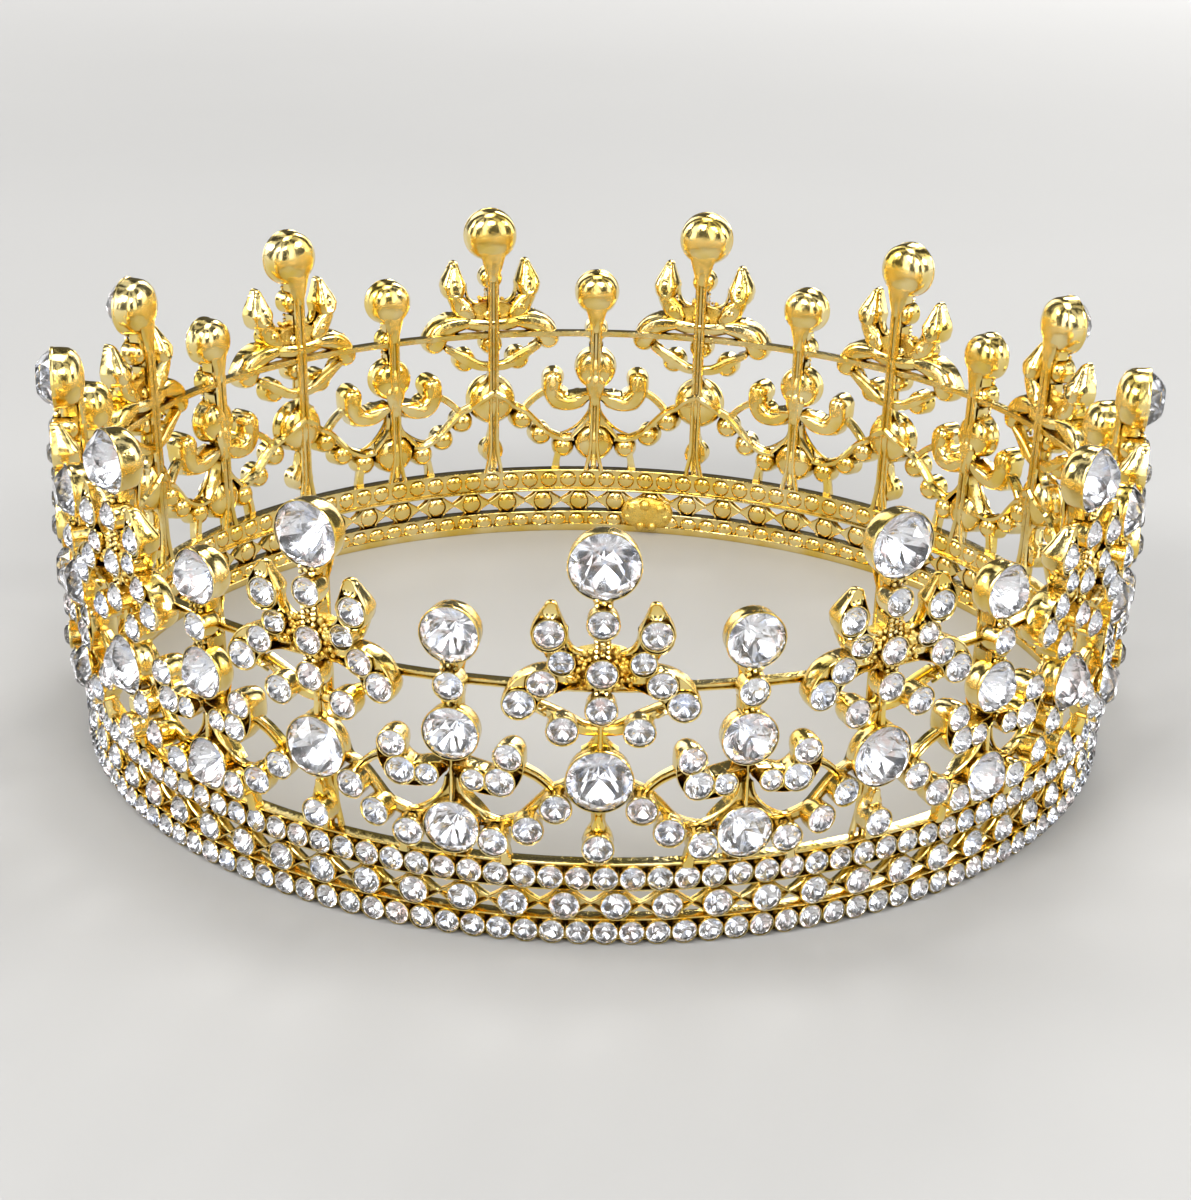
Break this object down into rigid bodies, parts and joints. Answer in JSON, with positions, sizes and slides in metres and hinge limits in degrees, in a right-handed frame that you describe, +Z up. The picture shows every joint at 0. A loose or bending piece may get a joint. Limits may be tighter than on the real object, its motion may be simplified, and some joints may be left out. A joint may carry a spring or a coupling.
{
  "type": "full-round rhinestone crown",
  "caption": "Full-round crown of gold-plated cast metal, tall and short openwork motifs on a band of stone rows, set with clear rhinestones, worn on the head.",
  "frame": {"origin": "on the crown's axis, in the plane of the base ring that it rests on", "axes": "+Z up along the crown's axis, -Y towards the front, a tall motif, and +X to the right as seen from the front"},
  "size_m": [0.1534, 0.1534, 0.0548],
  "materials": {
    "gold_plate": "bright gold plating on cast zinc alloy",
    "rhinestone": "clear faceted glass with a foiled back"
  },
  "bodies": {
    "root": {"frame": "gold_plate", "band_stones_lower": "rhinestone", "band_stones_middle": "rhinestone", "band_stones_upper": "rhinestone", "tall_motif_stones": "rhinestone", "short_upper_stones": "rhinestone", "short_lower_stones": "rhinestone", "tall_top_stone_1": "rhinestone", "tall_top_stone_2": "rhinestone", "tall_top_stone_3": "rhinestone", "tall_top_stone_4": "rhinestone", "tall_top_stone_5": "rhinestone", "tall_top_stone_6": "rhinestone", "tall_top_stone_7": "rhinestone", "tall_top_stone_8": "rhinestone", "tall_top_stone_9": "rhinestone", "tall_top_stone_10": "rhinestone", "tall_top_stone_11": "rhinestone", "tall_top_stone_12": "rhinestone", "tall_top_stone_13": "rhinestone", "junction_stone_1": "rhinestone", "junction_stone_2": "rhinestone", "junction_stone_3": "rhinestone", "junction_stone_4": "rhinestone", "junction_stone_5": "rhinestone", "junction_stone_6": "rhinestone", "junction_stone_7": "rhinestone", "junction_stone_8": "rhinestone", "junction_stone_9": "rhinestone", "junction_stone_10": "rhinestone", "junction_stone_11": "rhinestone", "junction_stone_12": "rhinestone", "junction_stone_13": "rhinestone", "short_top_stone_1": "rhinestone", "short_top_stone_2": "rhinestone", "short_top_stone_3": "rhinestone", "short_top_stone_4": "rhinestone", "short_top_stone_5": "rhinestone", "short_top_stone_6": "rhinestone", "short_top_stone_7": "rhinestone", "short_top_stone_8": "rhinestone", "short_top_stone_9": "rhinestone", "short_top_stone_10": "rhinestone", "short_top_stone_11": "rhinestone", "short_top_stone_12": "rhinestone", "short_top_stone_13": "rhinestone"}
  },
  "joints": []
}
